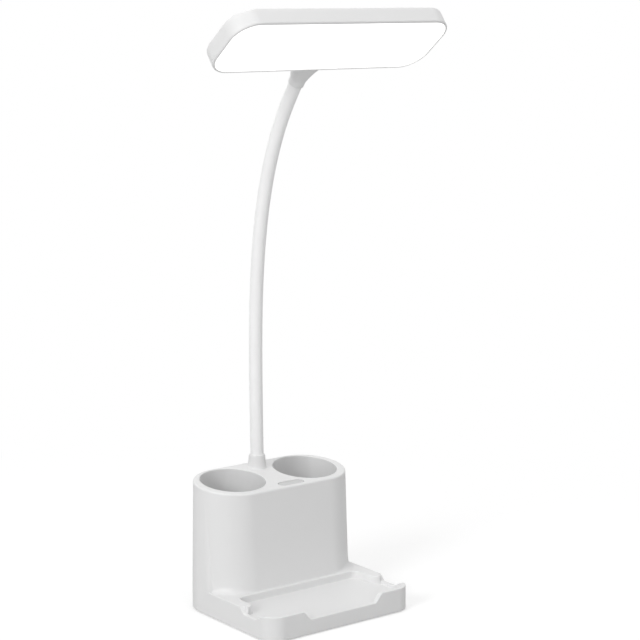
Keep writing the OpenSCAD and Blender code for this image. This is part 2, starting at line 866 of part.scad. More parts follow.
module tip_fitting() {
    start = hose_from + hose_end_gap;
    shoulder = collar_start + collar_depth;
    color(steel_grey) on_tip() difference() {
        union() {
            translate([0, 0, start]) cylinder(r = hose_r, h = shoulder - start + root);
            translate([0, 0, shoulder]) cylinder(r = fitting_r, h = shoulder_len);
        }
        cylinder(r = wire_r + fit_gap, h = 2 * shoulder);
    }
}

// ---- light head ----

module on_head() {
    translate(head_centre) rotate([-head_tilt, 0, 0]) children();
}

// Goes on from the neck, then bends to the head's rear wall and widens.
module collar_blend() {
    join_h = head_t - 2 * head_edge;
    hull($fn = blend_fn) {
        on_tip() translate([0, 0, collar_start]) cylinder(r = collar_r, h = collar_bend - collar_start);
        on_head() translate([0, head_w / 2 + collar_join, head_t / 2])
            rotate([90, 0, 0]) linear_extrude(collar_join) oval(collar_w, join_h / 2);
    }
}

module tongue_places() {
    for (side = sides)
        translate([side * tongue_screw_x, head_w / 2 - head_wall - tongue_screw_in, 0]) children();
}

// The way of the lead from the neck's end through the head's rear wall.
module lead_way() {
    translate([0, head_w / 2 - head_wall - cut, lead_way_z]) rotate([-90, 0, 0])
        cylinder(r = wire_hole_r, h = head_wall + neck_to_head / 2 + cut);
}

module head_collar() {
    color(shell_white) difference() {
        union() {
            collar_blend();
            on_head() translate([-tongue_w / 2, head_w / 2 - head_wall - tongue_len, tongue_z])
                cube([tongue_w, tongue_len + head_wall + collar_join, tongue_t]);
        }
        on_tip() {
            cylinder(r = neck_r + hole_gap, h = collar_start + collar_depth);
            cylinder(r = fitting_r + hole_gap, h = collar_start + collar_depth + shoulder_len + hole_gap);
        }
        on_head() {
            lead_way();
            tongue_places() translate([0, 0, tongue_z - cut])
                cylinder(r = tongue_screw_r + fit_gap, h = tongue_t + 2 * cut);
        }
    }
}

module collar_screws() {
    length = ceiling - tongue_z + tongue_head_h;
    color(steel_grey) on_head() tongue_places() translate([0, 0, tongue_z - tongue_head_h])
        screw(tongue_screw_r, length, tongue_head_r, tongue_head_h);
}

module head_outline(inset) {
    round_box(head_len - 2 * inset, head_w - 2 * inset, head_corner_r - inset);
}

// Three layers round the housing's back edge off.
module housing_body() {
    hull($fn = 2 * blend_fn)
        for (layer = edge_layers)
            linear_extrude(head_t - head_edge * layer[1]) head_outline(head_edge * layer[0]);
}

module led_places() {
    for (k = [-1.5:1:1.5])
        translate([k * led_screw_step, 0, 0]) children();
}

module head_housing() {
    rabbet = diffuser_sink + diffuser_t;
    tongue_top = tongue_z + tongue_t;
    color(shell_white) on_head() difference() {
        union() {
            difference() {
                housing_body();
                translate([0, 0, -cut]) linear_extrude(ceiling + cut) head_outline(head_wall);
                translate([0, 0, -cut]) linear_extrude(rabbet + cut) head_outline(head_rim);
            }
            led_places() translate([0, 0, led_board_z + board_t])
                cylinder(r = led_boss_r, h = led_standoff + head_wall / 2);
            tongue_places() translate([0, 0, tongue_top])
                cylinder(r = led_boss_r, h = head_t - tongue_top - head_wall / 2);
        }
        translate([-tongue_w / 2 - fit_gap, head_w / 2 - head_wall - cut, tongue_z - hole_gap])
            cube([tongue_w + 2 * fit_gap, head_wall + 2 * cut, tongue_t + 2 * hole_gap]);
        lead_way();
        led_places() translate([0, 0, led_board_z])
            cylinder(r = small_screw_r + hole_gap, h = ceiling - led_board_z + fit_gap);
        tongue_places() translate([0, 0, tongue_z])
            cylinder(r = tongue_screw_r + hole_gap, h = ceiling - tongue_z + fit_gap);
    }
}

module light_diffuser() {
    skirt = head_wall + fit_gap;
    color(lit_white) on_head() translate([0, 0, diffuser_sink]) {
        linear_extrude(diffuser_t) head_outline(head_rim + diffuser_gap);
        linear_extrude(diffuser_t + diffuser_skirt_h) difference() {
            head_outline(skirt);
            head_outline(skirt + diffuser_skirt_t);
        }
    }
}

module led_board() {
    color([0.95, 0.95, 0.93]) on_head() translate([0, 0, led_board_z]) difference() {
        linear_extrude(board_t) round_box(led_board_len, led_board_w, board_corner_r);
        led_places() translate([0, 0, -cut]) cylinder(r = small_screw_r + fit_gap, h = board_t + 2 * cut);
    }
}

module led_chips() {
    color([0.98, 0.93, 0.7]) on_head() translate([0, 0, led_board_z - led_size[2]])
        for (i = [0:led_count - 1])
            for (side = sides)
                translate([(i - (led_count - 1) / 2) * led_step, side * led_row, led_size[2] / 2])
                    cube(led_size, center = true);
}

module led_screws() {
    color(steel_grey) on_head() led_places()
        translate([0, 0, led_board_z - small_head_h])
            small_screw(small_head_h + board_t + led_standoff);
}

base_shell();
bottom_cover();
rubber_feet();
cover_screws();
steel_weight();
battery_cell();
battery_leads();
control_board();
board_parts();
board_screws();
usb_socket();
neck_lead();
key_cap();
switch_plunger();
key_switch();
key_board();
key_screws();
key_lead();
neck_fitting();
neck_washer();
neck_nut();
neck_sleeve_root();
for (i = [1:link_count]) {
    neck_sleeve(i);
    neck_hose(i);
}
neck_sleeve_tip();
tip_fitting();
head_collar();
collar_screws();
head_housing();
light_diffuser();
led_board();
led_chips();
led_screws();
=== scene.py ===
"""A desk lamp: a pen-holder column on a phone tray, a flexible neck and a flat light head.

Lengths are in millimetres until a mesh is made. The frame's own boxes and joints place what they can.
"""
import json
from math import acos, cos, pi, radians, sin, tan

import bmesh
import bpy
from mathutils import Matrix, Vector


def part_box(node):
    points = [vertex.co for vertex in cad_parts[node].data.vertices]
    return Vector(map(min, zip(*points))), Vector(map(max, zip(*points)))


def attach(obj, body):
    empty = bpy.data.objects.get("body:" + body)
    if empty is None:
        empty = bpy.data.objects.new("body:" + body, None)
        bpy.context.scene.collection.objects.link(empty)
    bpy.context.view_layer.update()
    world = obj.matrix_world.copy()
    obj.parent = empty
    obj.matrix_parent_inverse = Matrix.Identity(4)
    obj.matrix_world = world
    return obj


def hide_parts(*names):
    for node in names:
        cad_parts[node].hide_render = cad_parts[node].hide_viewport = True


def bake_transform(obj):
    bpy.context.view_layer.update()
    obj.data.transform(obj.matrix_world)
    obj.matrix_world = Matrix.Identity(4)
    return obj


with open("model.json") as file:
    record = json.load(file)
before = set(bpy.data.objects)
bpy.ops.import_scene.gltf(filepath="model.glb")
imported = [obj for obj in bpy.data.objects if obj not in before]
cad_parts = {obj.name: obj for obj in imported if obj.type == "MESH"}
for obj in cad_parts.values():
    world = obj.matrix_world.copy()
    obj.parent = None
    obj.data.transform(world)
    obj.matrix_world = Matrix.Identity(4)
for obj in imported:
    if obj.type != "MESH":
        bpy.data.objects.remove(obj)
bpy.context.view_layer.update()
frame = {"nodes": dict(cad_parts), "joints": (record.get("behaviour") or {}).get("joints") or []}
scene = bpy.context.scene
MM = 0.001

# ---- Sizes of the base block and its tray ----
shell_low, shell_high = (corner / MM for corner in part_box("base_shell"))
half_w, base_back, base_front = shell_high.x, shell_high.y, -shell_low.y
shell_foot, boss_top = shell_low.z, shell_high.z
corner_r = 14
rim_top = 19.5
wall = 2.4
rim_t = 4
tray_half_w = 58.5
tray_back = 36.6
tray_step = 60
tray_corner_r = 6
floor_back, floor_front, floor_t = 13.7, 11.4, 2.2
front_gap = {"z": 12.4, "half": 30.5, "rise": 8.5}
side_gap = {"z": 14.6, "from": 61, "length": 12, "rear": 7, "front": 13}
tray_front = base_front - rim_t
tray_wide = half_w - rim_t
step_r = tray_wide - tray_half_w
rim_void_to = 53
rim_soft, foot_soft = 0.8, 0.4
crisp_from, crisp_to = 2.4, 8
usb_gap = 0.2

# ---- Column, cups, boss and key ----
deck_z, deck_slope, deck_soft = 101.3, radians(6.5), 1.6
deck_len, deck_r = 135.8, 30.6
foot_len, foot_r, foot_shift = 137.8, 32.75, 1.75
flare_most, flare_least = 6, 0.05
flush_full, flush_none, flush_rise = 1.5, 3, 76
foot_lap, flush_lap, flush_inset = 0.2, 0.05, 0.02
cup_r, cup_x, cup_y, cup_wall = 26, 35.4, 1.7, 2
# The last of these widens the pen cups' painted shade a little past their bores.
cup_depth, cup_lip, cup_round, cup_shade_margin = 75, 0.7, 3, 0.15
cup_floor = deck_z - cup_depth
waist_half, waist_ledge = 20, 0.3
boss_foot_r, boss_top_r, boss_soft, boss_seat = 7.8, 6.5, 0.7, 5
boss_flare, boss_draw, bore_soft = 0.9, 0.15, 0.15
fitting_hole_r, washer_r, boss_under = 4.55, 8.5, 6
key_len, key_w, key_x, key_y = 23.4, 7.4, 3.5, 23.2
key_sink, key_soft, key_dish, key_rim = 0.5, 0.5, 0.15, 0.6
key_wall, key_top_t = 1.2, 1.6
key_lip, key_lip_t, key_lip_gap = 0.9, 1, 0.2
slot_gap, slot_soft, slot_support = 0.35, 0.35, 0.25

# ---- Neck and head ----
neck_r, neck_bore_r, neck_gap = 5.3, 4.0, 0.05
neck_lean, neck_bend = -1.1, 38.2
sleeve_sunk = 1
head_len, head_w, head_t, head_corner_r, head_soft = 198.4, 59, 14, 19.2, 1.9
head_tilt, neck_to_head, neck_above_face = 37.8, 30.3, 4.8
head_wall, head_rim, head_rim_out, head_rim_in, head_ceiling_in = 2, 1.7, 1.35, 0.2, 0.5
panel_sink, panel_t, panel_gap, panel_soft = 0.4, 1.5, 0.4, 0.25
panel_skirt_t, panel_skirt_h, panel_skirt_gap = 1.2, 3, 0.2
collar_r, collar_start, collar_bend, collar_run, collar_seat = 6.2, 5.5, 12.5, 2, 5
collar_w, collar_bow, collar_bulge, collar_soft, collar_sunk = 21, 2.6, 0.2, 0.7, 0.6

# ---- Feet and cover screws ----
pad_r, pad_soft, pad_lift = 7, 0.5, 0.05
dimple_in, dimple_slope, dimple_deep = 2.2, 0.3, 0.25
screw_r, screw_tip_h, screw_tip_in = 1.25, 0.6, 0.35
screw_head_r, screw_head_h, screw_dome_h, screw_dome_w = 2.5, 1, 0.55, 0.9
recess_long, recess_wide, recess_deep = 2.6, 0.55, 0.65

# ---- How meshes are made: cutters' overreach, rings beside soft edges, distances and angles that count ----
past, far_past = 1, 5
support = 0.3
same_spot, same_corner, near = 0.0001, 0.002, 0.1
flat_angle, edge_angle, smooth_angle, screw_angle = 0.4, 28, 38, 30

# ---- Places, mostly from the frame's joints ----
LINKS = 12
chain = ["base"] + [f"link_{i}" for i in range(1, LINKS + 1)] + ["head"]
hinges = [joint for joint in frame["joints"] if joint["type"] == "hinge"]
pivots = {joint["child"]: Vector(joint["pos_m"]) / MM for joint in hinges}
bend_points = [pivots[body] for body in chain[1:]]
neck_foot, neck_tip = bend_points[0], bend_points[-1]
tip_lean = radians(neck_lean + neck_bend)
on_tip = Matrix.Translation(neck_tip) @ Matrix.Rotation(tip_lean, 4, "X")
head_turn = Matrix.Rotation(-radians(head_tilt), 4, "X")
head_place = neck_tip - head_turn @ Vector((0, head_w / 2 + neck_to_head, neck_above_face))
on_head = Matrix.Translation(head_place) @ head_turn
on_deck = Matrix.Translation((0, 0, deck_z)) @ Matrix.Rotation(deck_slope, 4, "X")


# ---- Materials ----
class Signal:
    """One output in a material's node tree; arithmetic on signals adds Math nodes."""

    def __init__(self, finish, socket):
        self.finish = finish
        self.socket = socket

    def maths(self, operation, first, second):
        return self.finish.node("ShaderNodeMath", {"operation": operation}, {0: first, 1: second})

    def __add__(self, other):
        return self.maths("ADD", self, other)

    def __radd__(self, other):
        return self.maths("ADD", other, self)

    def __sub__(self, other):
        return self.maths("SUBTRACT", self, other)

    def __rsub__(self, other):
        return self.maths("SUBTRACT", other, self)

    def __mul__(self, other):
        return self.maths("MULTIPLY", self, other)

    def __rmul__(self, other):
        return self.maths("MULTIPLY", other, self)

    def __abs__(self):
        return self.maths("ABSOLUTE", self, 0)

    def __gt__(self, other):
        return self.maths("GREATER_THAN", self, other)

    def most(self, other):
        return self.maths("MAXIMUM", self, other)


class Nodes:
    """A node tree under construction: every node comes from one method, and signals are linked to sockets."""

    def __init__(self, owner):
        owner.use_nodes = True
        self.tree = owner.node_tree

    def node(self, kind, settings=None, inputs=None, output=0):
        made = self.tree.nodes.new(kind)
        for name, value in (settings or {}).items():
            setattr(made, name, value)
        for name, value in (inputs or {}).items():
            self.feed(made.inputs[name], value)
        return Signal(self, made.outputs[output])

    def feed(self, socket, value):
        if isinstance(value, Signal):
            self.tree.links.new(value.socket, socket)
        else:
            socket.default_value = value

    def place(self):
        """Where a point is on its own object."""
        return self.node("ShaderNodeTexCoord", output="Object")

    def show(self, surface):
        """Links a shader to the tree's output."""
        end = next(node for node in self.tree.nodes if node.type.startswith("OUTPUT"))
        self.feed(end.inputs["Surface"], surface)

    def bare_rays(self):
        """One for the rays that see the surroundings directly or in a gloss, none for the light they give."""
        kinds = ("Is Camera Ray", "Is Glossy Ray", "Is Transmission Ray")
        direct, glossy, through = (self.node("ShaderNodeLightPath", output=kind) for kind in kinds)
        return direct.most(glossy).most(through)


class Finish(Nodes):
    """A procedural material: constants go on the shader's own sockets, signals are linked to them."""

    def __init__(self, name, **constants):
        self.material = bpy.data.materials.new(name)
        super().__init__(self.material)
        self.shader = self.tree.nodes["Principled BSDF"]
        self.shade(**constants)

    def shade(self, **inputs):
        for name, value in inputs.items():
            self.feed(self.shader.inputs[name.replace("_", " ")], value)

    def noise(self, size, detail=2, stretch=(1, 1, 1)):
        """Noise whose blotches are about this many millimetres wide, drawn out by stretch."""
        scale = tuple(1 / (size * MM * s) for s in stretch)
        place = self.node("ShaderNodeMapping", {}, {"Vector": self.place(), "Scale": scale})
        return self.node("ShaderNodeTexNoise", {}, {"Vector": place, "Scale": 1, "Detail": detail})

    def ramp(self, signal, start, stop):
        """None up to start, one from stop on, and an even rise between them."""
        risen = self.node("ShaderNodeValToRGB", {}, {"Fac": signal})
        for end, place in zip(risen.socket.node.color_ramp.elements, (start, stop)):
            end.position = place
        return risen

    def mix(self, amount, first, second):
        """A colour between two others."""
        return self.node("ShaderNodeMix", {"data_type": "RGBA"}, {0: amount, 6: first, 7: second}, output=2)

    def relief(self, height, depth):
        """A bump this many millimetres deep."""
        return self.node("ShaderNodeBump", {}, {"Height": height, "Distance": depth * MM})


def grey(value, warm=0.0):
    return (value + warm, value, value - warm, 1)


def cup_shade_area(finish):
    """One inside the two pen cups and none elsewhere: where the cups' painted shade goes."""
    place = finish.place()
    aside, back = (finish.node("ShaderNodeSeparateXYZ", {}, {0: place}, output=axis) for axis in ("X", "Y"))
    beside, behind = abs(aside) - cup_x * MM, back - cup_y * MM
    return 1 - (beside * beside + behind * behind > ((cup_r + cup_shade_margin) * MM) ** 2)


def moulded_plastic(name, tone, gloss=0.4, grain=0.012, cup_shade_tone=None):
    """White moulded plastic: fine grain, faint clouds, cleaner edges, uneven gloss; painted shade inside the
    pen cups if asked, a darker tone standing for the shade down in them.
    """
    finish = Finish(name, IOR=1.47)
    cloud = finish.noise(45, detail=3)
    speck = finish.noise(0.45, detail=2)
    edge = finish.ramp(finish.node("ShaderNodeNewGeometry", output="Pointiness"), 0.49, 0.56)
    body = finish.mix(cloud, grey(tone - 0.006, 0.001), grey(tone + 0.006, -0.001))
    # Painted shade: the inside of the pen cups gets a darker tone, for the shade that falls in them.
    if cup_shade_tone:
        painted_cup_shade = finish.mix(speck, grey(cup_shade_tone - 0.01), grey(cup_shade_tone + 0.01))
        body = finish.mix(cup_shade_area(finish), body, painted_cup_shade)
    finish.shade(
        Base_Color=finish.mix(0.35 * edge, body, grey(tone + 0.03)),
        Roughness=gloss + 0.08 * (cloud - 0.5) + 0.05 * (speck - 0.5),
        Normal=finish.relief(speck, grain),
    )
    return finish.material


def silicone(name, tone, gloss, grain):
    """Soft silicone: a dull skin with fine grain and a little dust bloom."""
    finish = Finish(name, IOR=1.42, Sheen_Weight=0.08, Sheen_Roughness=0.5)
    bloom = finish.noise(14, detail=4)
    pores = finish.noise(0.3, detail=2)
    finish.shade(
        Base_Color=finish.mix(bloom, grey(tone - 0.01), grey(tone + 0.008)),
        Roughness=gloss + 0.1 * (bloom - 0.5),
        Normal=finish.relief(pores, grain),
    )
    return finish.material


def lit_panel():
    """The frosted diffuser, lit from behind: white, with faint warmer patches and a fine frost."""
    finish = Finish("lit_panel", IOR=1.49, Roughness=0.5, Emission_Strength=1.0)
    frost = finish.noise(0.6, detail=2)
    glow = finish.noise(60, detail=1)
    finish.shade(
        Base_Color=finish.mix(frost, grey(0.84), grey(0.88)),
        Emission_Color=finish.mix(glow, (1, 0.985, 0.96, 1), (1, 1, 0.985, 1)),
        Normal=finish.relief(frost, 0.008),
    )
    return finish.material


def turned_steel(tone):
    """Plated steel with fine drawn lines and a few duller patches."""
    finish = Finish("turned_steel", Metallic=1.0)
    lines = finish.noise(0.5, detail=3, stretch=(1, 1, 14))
    patches = finish.noise(6, detail=3)
    finish.shade(
        Base_Color=finish.mix(patches, grey(tone - 0.06), grey(tone + 0.04)),
        Roughness=0.24 + 0.16 * patches + 0.08 * lines,
        Normal=finish.relief(lines, 0.006),
    )
    return finish.material


def circuit_board(name, mask, copper):
    """Solder mask over copper tracks: the tracks show as slightly raised, lighter stretches."""
    finish = Finish(name, IOR=1.5)
    tracks = finish.node(
        "ShaderNodeTexBrick",
        {"offset": 0.35},
        {"Vector": finish.place(), "Scale": 1 / (4 * MM), "Mortar Size": 0.05, "Mortar Smooth": 0.2},
        output=1,
    )
    weave = finish.noise(0.5, detail=1)
    finish.shade(
        Base_Color=finish.mix(0.8 * tracks, (*mask, 1), (*copper, 1)),
        Roughness=0.34 + 0.12 * weave,
        Normal=finish.relief(0.7 * tracks + 0.2 * weave, 0.04),
    )
    return finish.material


def chip_package():
    """Matt black moulding compound."""
    finish = Finish("chip_package", IOR=1.55)
    grit = finish.noise(0.12, detail=2)
    finish.shade(
        Base_Color=finish.mix(grit, grey(0.012), grey(0.03)),
        Roughness=0.45 + 0.2 * grit,
        Normal=finish.relief(grit, 0.01),
    )
    return finish.material


def shrink_wrap():
    """The cell's shrink sleeve: thin coloured film with small wrinkles."""
    finish = Finish("shrink_wrap", IOR=1.5, Coat_Roughness=0.2)
    wrinkle = finish.noise(3, detail=3, stretch=(4, 1, 1))
    finish.shade(
        Base_Color=finish.mix(wrinkle, (0.03, 0.16, 0.36, 1), (0.05, 0.22, 0.44, 1)),
        Roughness=0.28 + 0.14 * wrinkle,
        Coat_Weight=0.3 + 0.2 * wrinkle,
        Normal=finish.relief(wrinkle, 0.08),
    )
    return finish.material


def lead_skin(name, right, left):
    """Insulation of thin leads, in one colour to the right of the middle and another to the left."""
    finish = Finish(name, IOR=1.5)
    sideways = finish.node("ShaderNodeSeparateXYZ", {}, {0: finish.place()})
    scuff = finish.noise(1.2, detail=3)
    tone = finish.mix(sideways > 0, (*left, 1), (*right, 1))
    finish.shade(
        Base_Color=finish.mix(0.15 * scuff, tone, grey(0.5)),
        Roughness=0.38 + 0.15 * scuff,
        Normal=finish.relief(scuff, 0.02),
    )
    return finish.material


def led_phosphor():
    """The yellow phosphor of the light chips."""
    finish = Finish("led_phosphor", IOR=1.45)
    grit = finish.noise(0.2, detail=2)
    finish.shade(
        Base_Color=finish.mix(grit, (0.78, 0.62, 0.16, 1), (0.88, 0.74, 0.26, 1)),
        Roughness=0.4 + 0.2 * grit,
        Normal=finish.relief(grit, 0.01),
    )
    return finish.material


shell_plastic = moulded_plastic("shell_plastic", 0.8)
# The column's pen cups get painted shade: a darker tone inside them.
column_plastic = moulded_plastic("column_plastic", 0.8, cup_shade_tone=0.75)
cover_plastic = moulded_plastic("cover_plastic", 0.76, gloss=0.5, grain=0.03)
head_plastic = moulded_plastic("head_plastic", 0.8, gloss=0.38)
# The dimmer key's grey tone is painted shade, standing for the shade in the recess round the key.
key_painted_shade_plastic = moulded_plastic("key_painted_shade_plastic", 0.62, gloss=0.5, grain=0.02)
sleeve_silicone = silicone("sleeve_silicone", 0.93, gloss=0.52, grain=0.01)
foot_rubber = silicone("foot_rubber", 0.26, gloss=0.7, grain=0.03)
steel = turned_steel(0.6)
panel_light = lit_panel()


# ---- Outlines: pairs of a point and the direction out of the solid, anticlockwise from above ----
def round_stretch(x, y, radius, start, stop, steps=16, hollow=False):
    """An arc between two angles in degrees; a hollow one has the solid outside it."""
    stretch = []
    for k in range(steps + 1):
        angle = radians(start + (stop - start) * k / steps)
        out = Vector((cos(angle), sin(angle)))
        stretch.append((Vector((x, y)) + radius * out, -out if hollow else out))
    return stretch


def oval(length, radius, x=0, y=0, steps=40):
    reach = length / 2 - radius
    right = round_stretch(x + reach, y, radius, -90, 90, steps)
    left = round_stretch(x - reach, y, radius, 90, 270, steps)
    return right + left


def circle(radius, x, y, steps=64):
    return round_stretch(x, y, radius, 0, 360, steps)[:-1]


def round_box(length, width, radius, steps=14):
    x, y = length / 2 - radius, width / 2 - radius
    corners = ((x, -y, -90), (x, y, 0), (-x, y, 90), (-x, -y, 180))
    return [p for cx, cy, start in corners for p in round_stretch(cx, cy, radius, start, start + 90, steps)]


def base_outline(inset=0, steps=36):
    rear_r, front_r = base_back - inset, corner_r - inset
    rear_x, front_x, front_y = half_w - base_back, half_w - corner_r, corner_r - base_front
    return (
        round_stretch(rear_x, 0, rear_r, 0, 90, steps)
        + round_stretch(-rear_x, 0, rear_r, 90, 180, steps)
        + round_stretch(-front_x, front_y, front_r, 180, 270, steps // 2)
        + round_stretch(front_x, front_y, front_r, 270, 360, steps // 2)
    )


def tray_outline():
    """Narrow behind, widening in a quarter round to the thin rims at the sides."""
    front_r = corner_r - rim_t
    back_x, back_y = tray_half_w - tray_corner_r, -tray_back - tray_corner_r
    front_x, front_y = tray_wide - front_r, front_r - tray_front
    return (
        round_stretch(back_x, back_y, tray_corner_r, 0, 90, steps=10)
        + round_stretch(-back_x, back_y, tray_corner_r, 90, 180, steps=10)
        + round_stretch(-tray_wide, step_r - tray_step, step_r, 0, -90, steps=12, hollow=True)
        + round_stretch(-front_x, front_y, front_r, 180, 270)
        + round_stretch(front_x, front_y, front_r, 270, 360)
        + round_stretch(tray_wide, step_r - tray_step, step_r, 270, 180, steps=12, hollow=True)
    )


def points_of(outline):
    return [tuple(point) for point, out in outline]


def height_at(z, x, y):
    """A height that is given as a number or as a function of the place."""
    return z(x, y) if callable(z) else z


def at(outline, z, offset=0, place=None):
    """One ring of an outline: grown by an offset, lifted to a height and set in place."""
    ring = []
    for point, out in outline:
        grown = point + out * offset
        spot = Vector((grown.x, grown.y, height_at(z, grown.x, grown.y)))
        ring.append(place @ spot if place else spot)
    return ring


def rounding(size, steps):
    """Distances from the two sides that a quarter round joins: the first falls to none, the second rises."""
    angles = [pi / 2 * k / steps for k in range(steps + 1)]
    return [(size * (1 - sin(angle)), size * (1 - cos(angle))) for angle in angles]


def swell(share):
    """An even share turned into one that rises like half a wave."""
    return (1 - cos(pi * share)) / 2


def eased(share):
    """An even share turned into one that starts and ends gently."""
    return share * share * (3 - 2 * share)


# ---- Meshes ----
def skin(mesh, rings):
    """Faces between rings of points with equal counts. Gives back each ring's vertices."""
    rows = [[mesh.verts.new(p) for p in ring] for ring in rings]
    for low, high in zip(rows, rows[1:]):
        join(mesh, low, high)
    return rows


def join(mesh, low, high):
    for i in range(len(low)):
        mesh.faces.new((low[i - 1], low[i], high[i], high[i - 1]))


def closed_skin(mesh, rings):
    """A skin with a face across its first and its last ring."""
    rows = skin(mesh, rings)
    mesh.faces.new(rows[0])
    mesh.faces.new(rows[-1])


def fill(mesh, *loops):
    """A flat face inside the first loop of vertices and outside the others."""
    sides = [(loop[i - 1], loop[i]) for loop in loops for i in range(len(loop))]
    edges = [mesh.edges.get(side) or mesh.edges.new(side) for side in sides]
    bmesh.ops.triangle_fill(mesh, use_beauty=True, edges=edges)


def smooth(data, sharp_from=smooth_angle):
    """Smooth shading that keeps edges crisp from this angle on."""
    data.shade_smooth()
    data.set_sharp_from_angle(angle=radians(sharp_from))


def make_object(name, mesh, sharp_from=smooth_angle):
    bmesh.ops.recalc_face_normals(mesh, faces=mesh.faces)
    bmesh.ops.scale(mesh, vec=(MM, MM, MM), verts=mesh.verts)
    data = bpy.data.meshes.new(name)
    mesh.to_mesh(data)
    mesh.free()
    smooth(data, sharp_from)
    made = bpy.data.objects.new(name, data)
    scene.collection.objects.link(made)
    return made


def dress(piece, finish, body, replaced):
    """Gives a piece its finish and its body, and hides the nodes it stands for. A piece given no body is left
    unattached.
    """
    piece.data.materials.clear()
    piece.data.materials.append(finish)
    if body:
        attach(piece, body)
    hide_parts(*replaced)


def prism(name, points, low, high, place=None):
    """A straight-sided block over an outline; low may be a function of the place."""
    mesh = bmesh.new()
    foot = [Vector((x, y, height_at(low, x, y))) for x, y in points]
    head = [Vector((x, y, high)) for x, y in points]
    closed_skin(mesh, [foot, head])
    bmesh.ops.remove_doubles(mesh, verts=mesh.verts, dist=same_spot)
    if place:
        bmesh.ops.transform(mesh, matrix=place, verts=mesh.verts)
    return make_object(name, mesh)


def applied(thing):
    """Makes an object's modifiers part of its mesh."""
    seen = thing.evaluated_get(bpy.context.evaluated_depsgraph_get())
    baked = bpy.data.meshes.new_from_object(seen)
    thing.modifiers.clear()
    thing.data = baked


def cut(thing, *cutters):
    for cutter in cutters:
        boolean = thing.modifiers.new("cut", "BOOLEAN")
        boolean.operation = "DIFFERENCE"
        boolean.solver = "EXACT"
        boolean.object = cutter
    applied(thing)
    for cutter in cutters:
        bpy.data.objects.remove(cutter)


# ---- Base block ----
def floor_height(x, y):
    """The tray's floor falls evenly towards the front."""
    return floor_front + (floor_back - floor_front) * (y + tray_front) / (tray_front - tray_back)


def gap_profile(start, stop, rise_start, rise_stop, low, steps=14):
    """A gap in a rim seen from the side: flat below, with an S-shaped rise at each end."""
    shares = [k / steps for k in range(steps + 1)]
    first = [(start - rise_start * s, low + (rim_top - low) * swell(s)) for s in reversed(shares)]
    last = [(stop + rise_stop * s, low + (rim_top - low) * swell(s)) for s in shares]
    return first + last


def gap_cutter(name, profile, place, low, high):
    top = rim_top + far_past
    points = profile + [(profile[-1][0], top), (profile[0][0], top)]
    return prism(name, points, low, high, place)


def side_height_at(y):
    """The height of a side gap's rear rise at a place along the rim."""
    share = (y + side_gap["from"]) / side_gap["rear"]
    return side_gap["z"] + (rim_top - side_gap["z"]) * swell(share)


def rim_gap_cutters():
    """Blocks for the gap in the front rim and for those in the side rims, which take two blocks each."""
    upright = Matrix.Rotation(radians(90), 4, "X")
    sideways = Matrix.Rotation(radians(90), 4, "Z") @ upright
    half, rise = front_gap["half"], front_gap["rise"]
    front = gap_profile(-half, half, rise, rise, front_gap["z"])
    side_to = side_gap["from"] + side_gap["length"]
    side = gap_profile(-side_to, -side_gap["from"], side_gap["front"], side_gap["rear"], side_gap["z"])
    ahead = [p for p in side if p[0] < -tray_step] + [(-tray_step, side_height_at(-tray_step))]
    cutters = [gap_cutter("front_gap", front, upright, tray_front - past, base_front + past)]
    for sign in (-1, 1):
        through_rim = sorted((sign * tray_wide, sign * (half_w + past)))
        through_step = sorted((sign * tray_half_w, sign * (tray_wide + past)))
        cutters.append(gap_cutter("side_gap", side, sideways, *through_rim))
        cutters.append(gap_cutter("side_gap_inner", ahead, sideways, *through_step))
    return cutters


def is_sharp(edge):
    return edge.calc_face_angle(0) > radians(edge_angle)


def is_at_foot(edge):
    return max(corner.co.z for corner in edge.verts) < (shell_foot + near) * MM


def is_vanishing(edge):
    """Whether an edge lies where a side gap runs out along the tray's side, too low for a round edge."""
    middle = (edge.verts[0].co + edge.verts[1].co) / 2 / MM
    behind_step = middle.y + tray_step
    return abs(abs(middle.x) - tray_wide) < near and crisp_from < behind_step < crisp_to


def round_edges(mesh, edges, soft, segments):
    bmesh.ops.bevel(
        mesh,
        geom=edges,
        offset=soft * MM,
        segments=segments,
        profile=0.5,
        affect="EDGES",
        clamp_overlap=False,
    )


def soften_edges(block):
    """Rounds the block's edges, the bottom ones less, and leaves the vanishing end of the side gaps crisp."""
    mesh = bmesh.new()
    mesh.from_mesh(block.data)
    bmesh.ops.remove_doubles(mesh, verts=mesh.verts, dist=same_corner * MM)
    bmesh.ops.dissolve_limit(mesh, angle_limit=radians(flat_angle), verts=mesh.verts, edges=mesh.edges)
    high = [e for e in mesh.edges if is_sharp(e) and not is_at_foot(e) and not is_vanishing(e)]
    round_edges(mesh, high, rim_soft, segments=4)
    low = [e for e in mesh.edges if is_at_foot(e) and is_sharp(e)]
    round_edges(mesh, low, foot_soft, segments=3)
    mesh.to_mesh(block.data)
    mesh.free()


def inner_hollow():
    """The space under the tray and, behind it, up into the rims."""
    under_floor = floor_front - floor_t
    low = prism("hollow_low", points_of(base_outline(wall)), shell_foot - far_past, under_floor)
    rear_r, rear_x = base_back - wall, half_w - base_back
    arch = points_of(round_stretch(rear_x, 0, rear_r, 0, 90) + round_stretch(-rear_x, 0, rear_r, 90, 180))
    side_x, lobe_x = half_w - wall, tray_half_w + wall
    lobe_y, wall_y = wall - rim_void_to, wall - tray_back
    left = [(-side_x, lobe_y), (-lobe_x, lobe_y), (-lobe_x, wall_y)]
    right = [(-x, y) for x, y in reversed(left)]
    high = prism("hollow_high", arch + left + right, under_floor - past, rim_top - wall)
    return low, high


def usb_opening():
    """The block that cuts the charging socket's opening into the rear wall."""
    low, high = (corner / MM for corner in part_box("usb_socket"))
    middle = (low + high) / 2
    slot = oval(high.x - low.x + 2 * usb_gap, (high.z - low.z) / 2 + usb_gap, steps=12)
    place = Matrix.Translation((middle.x, 0, middle.z)) @ Matrix.Rotation(radians(90), 4, "X")
    return prism("usb_opening", points_of(slot), -base_back - past, wall + 2 * past - base_back, place)


